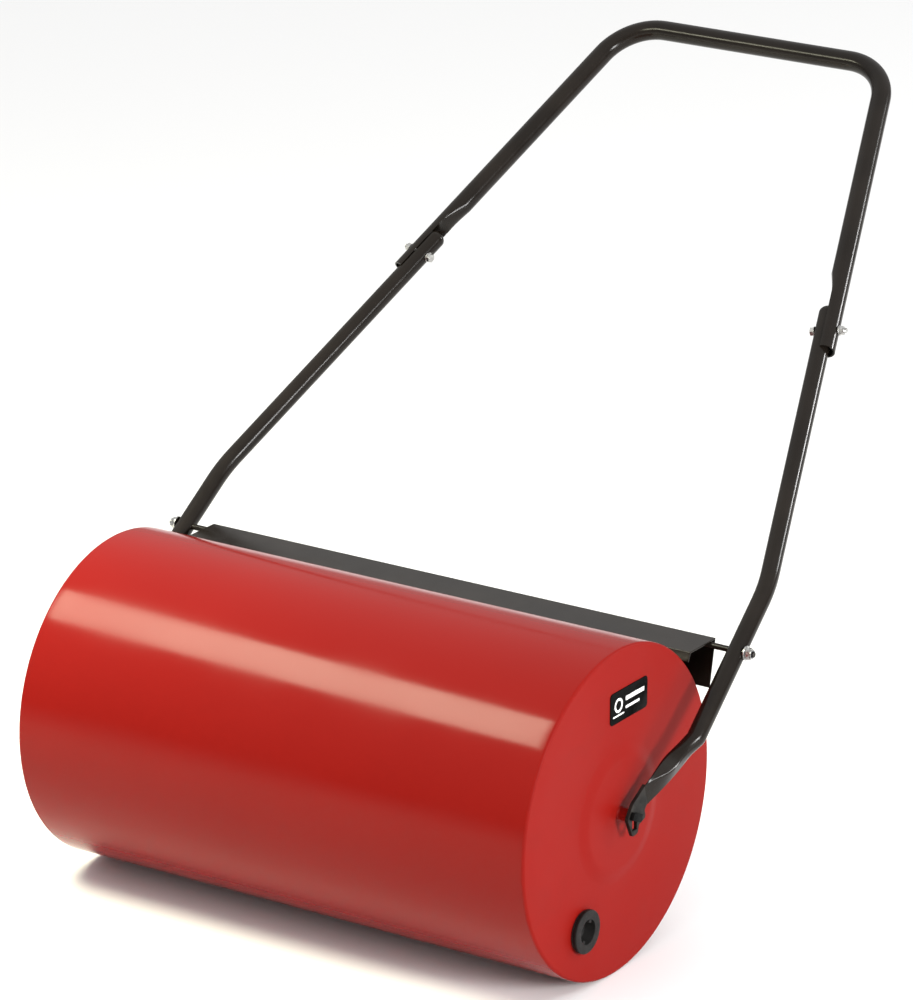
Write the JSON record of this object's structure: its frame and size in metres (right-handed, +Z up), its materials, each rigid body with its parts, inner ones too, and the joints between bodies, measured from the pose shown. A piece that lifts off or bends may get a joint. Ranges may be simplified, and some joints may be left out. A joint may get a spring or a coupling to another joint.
{
  "type": "lawn_roller",
  "caption": "Lawn roller: red steel ballast drum with filler plug, dark bolted tube handle and a scraper blade hung behind the drum.",
  "frame": {"origin": "on the ground, straight below the middle of the drum axis", "axes": "+X along the drum axis towards the filler side, +Y towards the handle, +Z up"},
  "size_m": [0.6702, 0.8833, 0.6979],
  "materials": {
    "drum_paint": "gloss enamel",
    "bare_steel": "bare",
    "frame_paint": "semi-gloss powder coat",
    "zinc": "bright zinc plate",
    "gasket_rubber": "matte",
    "plug_plastic": "fine grain",
    "badge_print": "printed film",
    "nylon": "plain"
  },
  "bodies": {
    "handle_frame": {"lower_tube_right": "frame_paint", "lower_tube_left": "frame_paint", "upper_handle": "frame_paint", "handle_bolts": "zinc", "handle_washers": "zinc", "handle_nuts": "zinc", "scraper_rod": "frame_paint", "rod_washers": "zinc", "rod_nuts": "zinc", "nut_inserts": "nylon"},
    "drum": {"drum_shell": "drum_paint", "end_cap_right": "drum_paint", "end_cap_left": "drum_paint", "stub_plate_right": "bare_steel", "stub_plate_left": "bare_steel", "axle_stub_right": "frame_paint", "axle_stub_left": "frame_paint", "filler_socket": "bare_steel", "badge": "badge_print"},
    "scraper": {"scraper_blade": "frame_paint", "scraper_lugs": "frame_paint"},
    "gasket": {"filler_gasket": "gasket_rubber"},
    "plug": {"filler_plug": "plug_plastic"}
  },
  "joints": [
    {"name": "drum_roll", "type": "hinge", "parent": "handle_frame", "child": "drum", "pos_m": [0, 0, 0.16], "axis": [1, 0, 0], "continuous": true},
    {"name": "scraper_lift", "type": "hinge", "parent": "handle_frame", "child": "scraper", "pos_m": [0, 0.15635, 0.27569], "axis": [-1, 0, 0], "range_deg": [0, 17]},
    {"name": "plug_out", "type": "slide", "parent": "drum", "child": "gasket", "axis": [1, 0, 0], "range_m": [0, 0.012]},
    {"name": "plug_turn", "type": "hinge", "parent": "gasket", "child": "plug", "pos_m": [0.285, -0.05955, 0.06396], "axis": [1, 0, 0], "range_deg": [0, 1440]}
  ],
  "couplings": [
    {"joint": "plug_turn", "follows": "plug_out", "rad_per_m": 2094.4}
  ]
}
